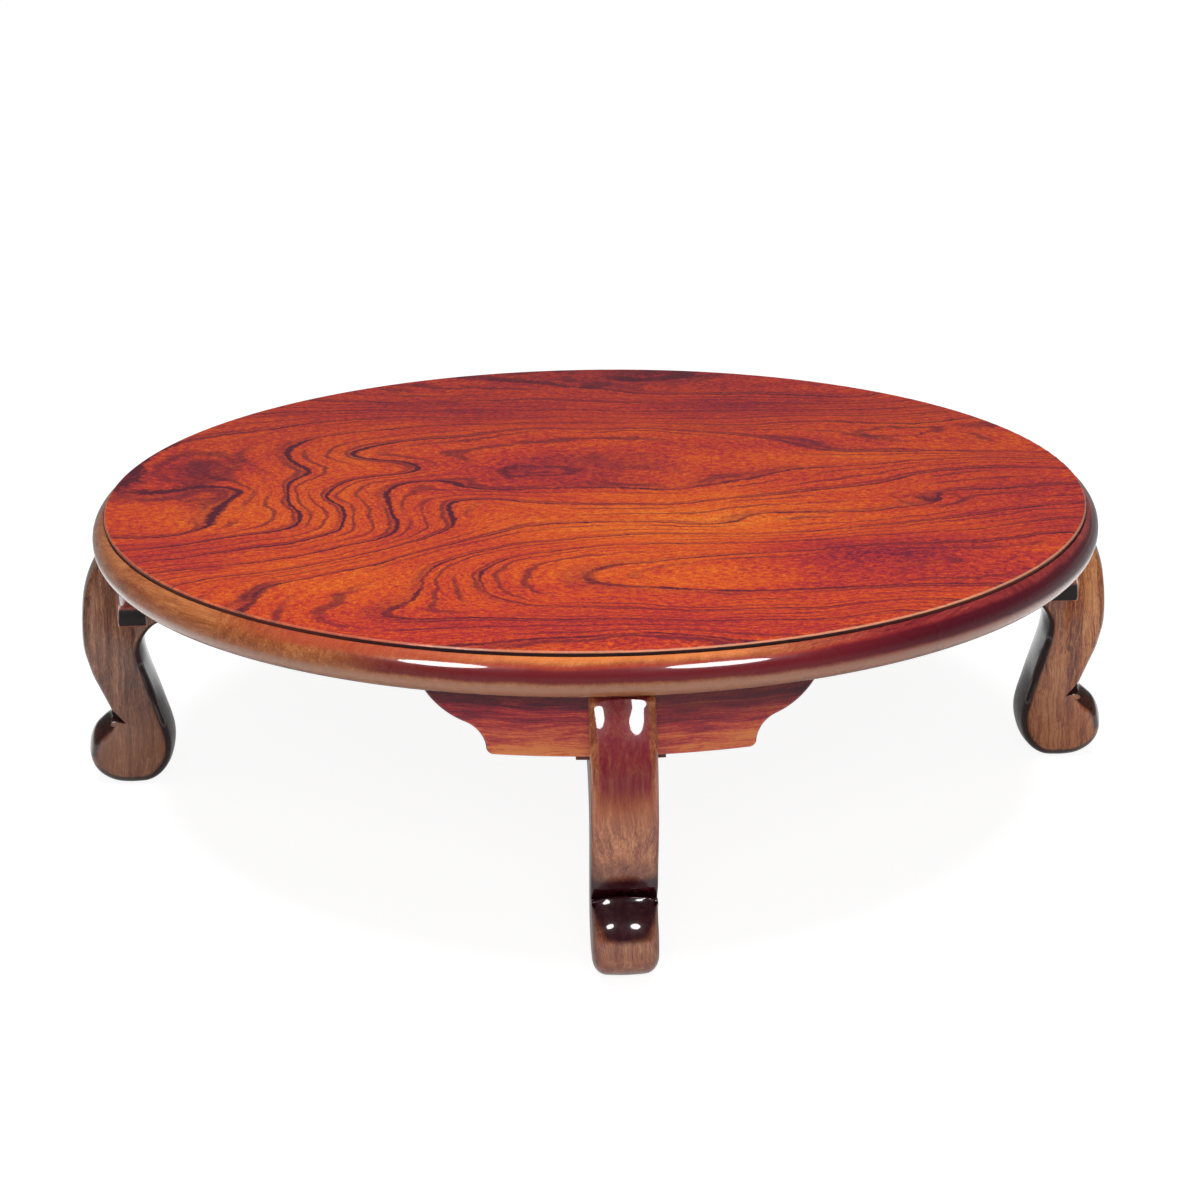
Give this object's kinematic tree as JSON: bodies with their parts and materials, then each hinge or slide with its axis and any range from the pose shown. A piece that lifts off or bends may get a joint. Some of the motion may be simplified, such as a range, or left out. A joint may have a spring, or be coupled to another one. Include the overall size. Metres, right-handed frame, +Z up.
{
  "type": "folding low table",
  "caption": "Round low table with a lacquered top and scroll-footed curved legs that fold flat under it on hinged aprons.",
  "frame": {"origin": "centre of the table's footprint on the floor", "axes": "+Z up along the table's axis, -Y towards the front leg, +X towards the right leg"},
  "size_m": [0.9402, 0.9402, 0.268],
  "materials": {
    "top_veneer": "high-gloss red-brown lacquer over figured zelkova veneer",
    "rim_wood": "high-gloss lacquer over solid wood",
    "leg_wood": "high-gloss lacquer over solid wood",
    "apron_wood": "high-gloss lacquer over solid wood",
    "block_wood": "stained solid wood, satin",
    "underside_board": "stained plywood, satin",
    "core_wood": "sawn softwood",
    "bolt_steel": "zinc-plated",
    "hinge_steel": "zinc-plated",
    "pin_steel": "zinc-plated",
    "screw_steel": "zinc-plated",
    "spring_steel": "blued spring steel",
    "rest_rubber": "matt black rubber"
  },
  "bodies": {
    "root": {"catch_spring_back": "spring_steel", "catch_spring_front": "spring_steel", "catch_spring_left": "spring_steel", "catch_spring_right": "spring_steel", "core_pads": "core_wood", "core_rail_long": "core_wood", "core_rails_short": "core_wood", "core_ribs": "core_wood", "edge_band_1": "rim_wood", "edge_band_2": "rim_wood", "edge_band_3": "rim_wood", "edge_band_4": "rim_wood", "fold_rests": "rest_rubber", "top_leaves_back": "hinge_steel", "top_leaves_front": "hinge_steel", "top_leaves_left": "hinge_steel", "top_leaves_right": "hinge_steel", "top_panel": "top_veneer", "top_screws_back": "screw_steel", "top_screws_front": "screw_steel", "top_screws_left": "screw_steel", "top_screws_right": "screw_steel", "underside_panel": "underside_board"},
    "leg_unit_front": {"leg_front": "leg_wood", "apron_front": "apron_wood", "leg_block_front": "block_wood", "side_blocks_front": "block_wood", "leg_bolts_front": "bolt_steel", "leg_leaves_front": "hinge_steel", "hinge_pins_front": "pin_steel", "leaf_screws_front": "screw_steel"},
    "leg_unit_right": {"leg_right": "leg_wood", "apron_right": "apron_wood", "leg_block_right": "block_wood", "side_blocks_right": "block_wood", "leg_bolts_right": "bolt_steel", "leg_leaves_right": "hinge_steel", "hinge_pins_right": "pin_steel", "leaf_screws_right": "screw_steel"},
    "leg_unit_back": {"leg_back": "leg_wood", "apron_back": "apron_wood", "leg_block_back": "block_wood", "side_blocks_back": "block_wood", "leg_bolts_back": "bolt_steel", "leg_leaves_back": "hinge_steel", "hinge_pins_back": "pin_steel", "leaf_screws_back": "screw_steel"},
    "leg_unit_left": {"leg_left": "leg_wood", "apron_left": "apron_wood", "leg_block_left": "block_wood", "side_blocks_left": "block_wood", "leg_bolts_left": "bolt_steel", "leg_leaves_left": "hinge_steel", "hinge_pins_left": "pin_steel", "leaf_screws_left": "screw_steel"}
  },
  "joints": [
    {"name": "fold_front", "type": "hinge", "parent": "root", "child": "leg_unit_front", "pos_m": [0, -0.376, 0.227], "axis": [1, 0, 0], "range_deg": [0, 90]},
    {"name": "fold_right", "type": "hinge", "parent": "root", "child": "leg_unit_right", "pos_m": [0.376, 0, 0.227], "axis": [0, 1, 0], "range_deg": [0, 90]},
    {"name": "fold_back", "type": "hinge", "parent": "root", "child": "leg_unit_back", "pos_m": [0, 0.376, 0.227], "axis": [-1, 0, 0], "range_deg": [0, 90]},
    {"name": "fold_left", "type": "hinge", "parent": "root", "child": "leg_unit_left", "pos_m": [-0.376, 0, 0.227], "axis": [0, -1, 0], "range_deg": [0, 90]}
  ]
}
